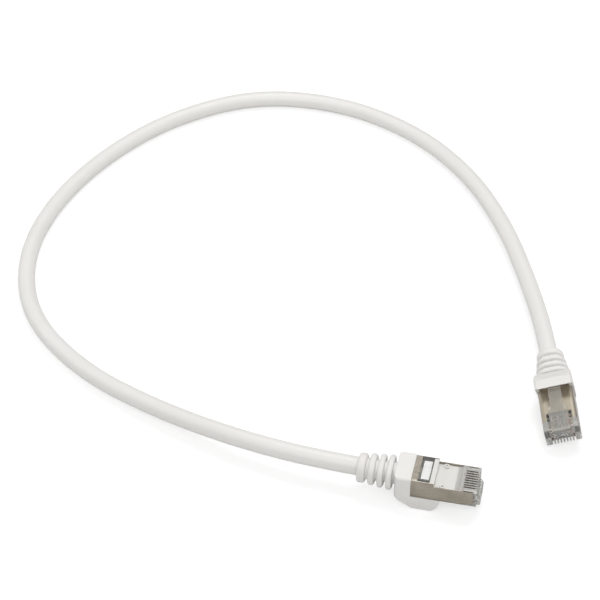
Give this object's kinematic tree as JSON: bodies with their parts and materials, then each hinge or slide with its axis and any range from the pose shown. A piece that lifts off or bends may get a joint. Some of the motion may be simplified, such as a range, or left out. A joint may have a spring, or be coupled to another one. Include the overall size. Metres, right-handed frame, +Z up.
{
  "type": "ethernet patch cable",
  "caption": "Short shielded network patch cord lying in one open loop, with a sprung-latch modular plug and a ribbed moulded boot at each end.",
  "frame": {"origin": "on the ground, under the middle of the box round the two plugs and their boots", "axes": "+X the way plug a's nose points, +Z up from the ground the cord lies on, +Y to plug a's left, towards the far side of the loop"},
  "size_m": [0.2102, 0.2091, 0.0153],
  "materials": {
    "white_pvc_jacket": "smooth satin",
    "white_pvc_boot": "moulded satin",
    "clear_polycarbonate": "clear polished",
    "nickel_plated_steel": "plated, satin",
    "gold_plated_contact": "gold plated",
    "tinned_braid": "woven tinned wire",
    "aluminium_foil": "bright foil",
    "bare_copper": "bare stranded",
    "insulation_white_orange": "extruded",
    "insulation_orange": "extruded",
    "insulation_white_green": "extruded",
    "insulation_blue": "extruded",
    "insulation_white_blue": "extruded",
    "insulation_green": "extruded",
    "insulation_white_brown": "extruded",
    "insulation_brown": "extruded"
  },
  "bodies": {
    "cord_and_plugs": {"housing_a": "clear_polycarbonate", "shell_a": "nickel_plated_steel", "wire_comb_a": "clear_polycarbonate", "jacket_clamp_a": "clear_polycarbonate", "braid_cuff_a": "tinned_braid", "boot_a": "white_pvc_boot", "contact_a_1": "gold_plated_contact", "contact_a_2": "gold_plated_contact", "contact_a_3": "gold_plated_contact", "contact_a_4": "gold_plated_contact", "contact_a_5": "gold_plated_contact", "contact_a_6": "gold_plated_contact", "contact_a_7": "gold_plated_contact", "contact_a_8": "gold_plated_contact", "housing_b": "clear_polycarbonate", "shell_b": "nickel_plated_steel", "wire_comb_b": "clear_polycarbonate", "jacket_clamp_b": "clear_polycarbonate", "braid_cuff_b": "tinned_braid", "boot_b": "white_pvc_boot", "contact_b_1": "gold_plated_contact", "contact_b_2": "gold_plated_contact", "contact_b_3": "gold_plated_contact", "contact_b_4": "gold_plated_contact", "contact_b_5": "gold_plated_contact", "contact_b_6": "gold_plated_contact", "contact_b_7": "gold_plated_contact", "contact_b_8": "gold_plated_contact", "cable_jacket": "white_pvc_jacket", "cable_braid": "tinned_braid", "cable_foil": "aluminium_foil", "wire_1": "insulation_white_orange", "wire_2": "insulation_orange", "wire_3": "insulation_white_green", "wire_4": "insulation_blue", "wire_5": "insulation_white_blue", "wire_6": "insulation_green", "wire_7": "insulation_white_brown", "wire_8": "insulation_brown", "copper_conductors": "bare_copper"},
    "latch_a": {"latch_a": "clear_polycarbonate"},
    "latch_b": {"latch_b": "clear_polycarbonate"}
  },
  "joints": [
    {"name": "latch_a_press", "type": "hinge", "parent": "cord_and_plugs", "child": "latch_a", "pos_m": [0.0054, -0.0313, 0.00402], "axis": [0, 1, 0], "range_deg": [0, 7], "stiffness_Nm_per_rad": 0.3},
    {"name": "latch_b_press", "type": "hinge", "parent": "cord_and_plugs", "child": "latch_b", "pos_m": [0.02679, -0.00132, 0.00996], "axis": [-0.9358, -0.2281, -0.2689], "range_deg": [0, 7], "stiffness_Nm_per_rad": 0.3}
  ]
}
